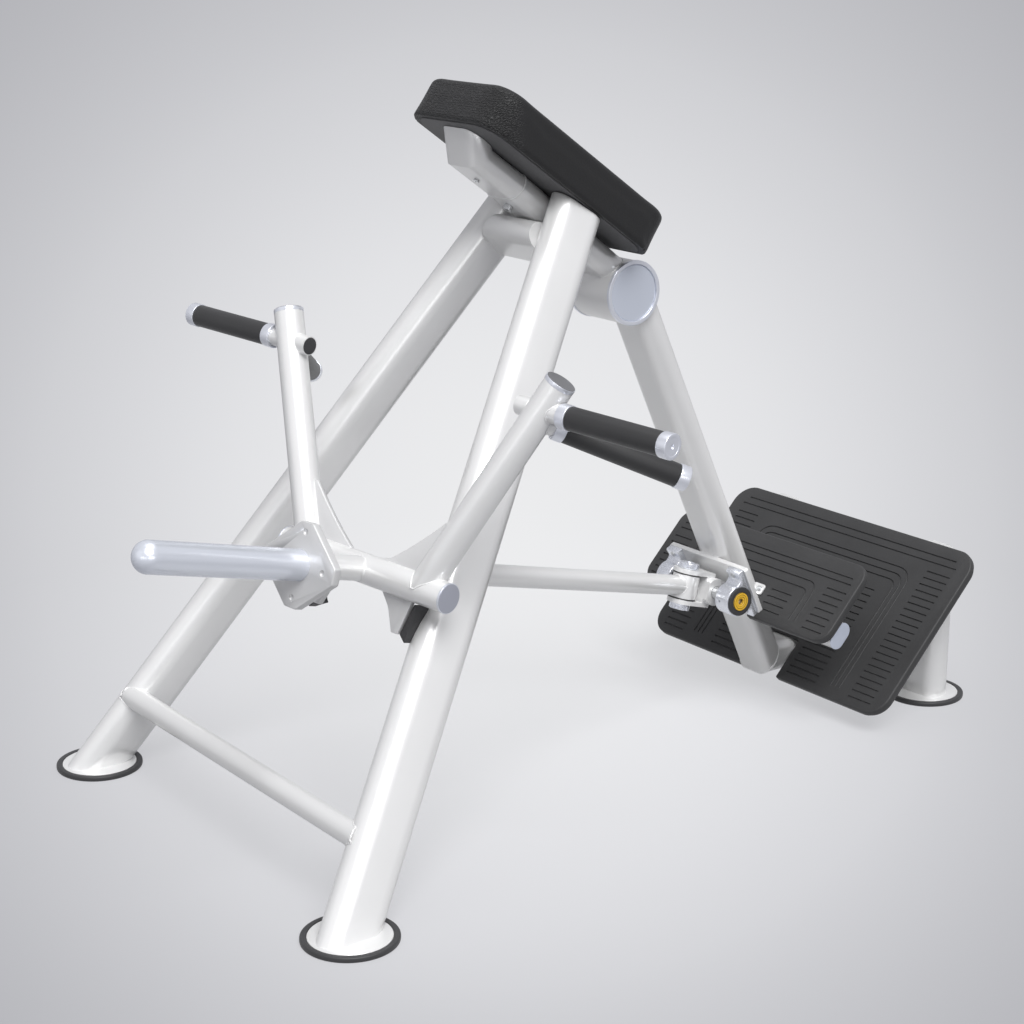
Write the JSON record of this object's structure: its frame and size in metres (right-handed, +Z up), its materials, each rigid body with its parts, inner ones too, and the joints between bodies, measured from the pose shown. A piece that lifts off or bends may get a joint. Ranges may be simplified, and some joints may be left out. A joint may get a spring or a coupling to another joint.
{
  "type": "incline row machine",
  "caption": "Plate-loaded incline row machine: chest pad on splayed legs, stepped foot platform, and a boom with handles that pitches and swings on a yoke.",
  "frame": {"origin": "centre of the bounding box in plan, on the floor under the four rubber feet", "axes": "+Z up, -Y towards the plate horn and the front legs, +Y towards the foot platform, +X to the side where the boom is parked"},
  "size_m": [1.2343, 1.8702, 1.2608],
  "materials": {
    "silver_paint": "pearl silver powder coat, satin",
    "satin_alloy": "satin anodised, slightly blue",
    "cast_alloy": "silver painted casting",
    "black_rubber": "matt black moulded rubber",
    "mat_rubber": "dark grey grooved rubber mat",
    "pad_leather": "near-black grained upholstery",
    "board_black": "plywood board, painted black",
    "panel_black": "black painted steel sheet",
    "amber_plastic": "moulded amber plastic",
    "bronze": "plain bearing bronze",
    "zinc": "zinc plated"
  },
  "bodies": {
    "frame": {"base_rail": "silver_paint", "bearing_cover_left": "amber_plastic", "bearing_cover_right": "amber_plastic", "bearing_left": "black_rubber", "bearing_plate": "silver_paint", "bearing_right": "black_rubber", "block_bolt_lower_left": "zinc", "block_bolt_lower_right": "zinc", "block_bolt_upper_left": "zinc", "block_bolt_upper_right": "zinc", "chest_pad": "pad_leather", "foot_rubber_front_left": "black_rubber", "foot_rubber_front_right": "black_rubber", "foot_rubber_rear_left": "black_rubber", "foot_rubber_rear_right": "black_rubber", "front_leg_left": "silver_paint", "front_leg_right": "silver_paint", "hub_cap_left": "satin_alloy", "hub_cap_right": "satin_alloy", "hub_tube": "silver_paint", "pad_beam": "silver_paint", "pad_board": "board_black", "pad_bolt_front": "zinc", "pad_bolt_rear": "zinc", "pillow_block_left": "cast_alloy", "pillow_block_right": "cast_alloy", "platform_mat": "mat_rubber", "platform_panel": "panel_black", "rear_column": "silver_paint", "rear_post_left": "silver_paint", "rear_post_right": "silver_paint", "stabiliser_tube": "silver_paint", "step_arm_left": "silver_paint", "step_arm_right": "silver_paint", "step_mat": "mat_rubber", "step_panel": "panel_black", "top_cross_tube": "silver_paint"},
    "yoke": {"kingpin": "satin_alloy", "kingpin_nut": "satin_alloy", "pivot_axle": "zinc", "thrust_washer_lower": "black_rubber", "thrust_washer_upper": "black_rubber", "yoke": "silver_paint"},
    "boom": {"angled_bar_left": "satin_alloy", "angled_bar_right": "satin_alloy", "angled_grip_left": "black_rubber", "angled_grip_right": "black_rubber", "arm_left": "silver_paint", "arm_right": "silver_paint", "boom_tube": "silver_paint", "cross_tube": "silver_paint", "horn_flange": "silver_paint", "sleeve_bush": "bronze", "stop_rubber_left": "black_rubber", "stop_rubber_right": "black_rubber", "weight_horn": "satin_alloy", "wide_bar_left": "satin_alloy", "wide_bar_right": "satin_alloy", "wide_grip_left": "black_rubber", "wide_grip_right": "black_rubber"}
  },
  "joints": [
    {"name": "boom_pitch", "type": "hinge", "parent": "frame", "child": "yoke", "pos_m": [-0.1016, 0.44264, 0.2495], "axis": [-1, 0, 0], "range_deg": [0, 16]},
    {"name": "boom_swing", "type": "hinge", "parent": "yoke", "child": "boom", "pos_m": [-0.1016, 0.39453, 0.26314], "axis": [0, -0.2728, -0.9621], "range_deg": [0, 23.6]}
  ]
}
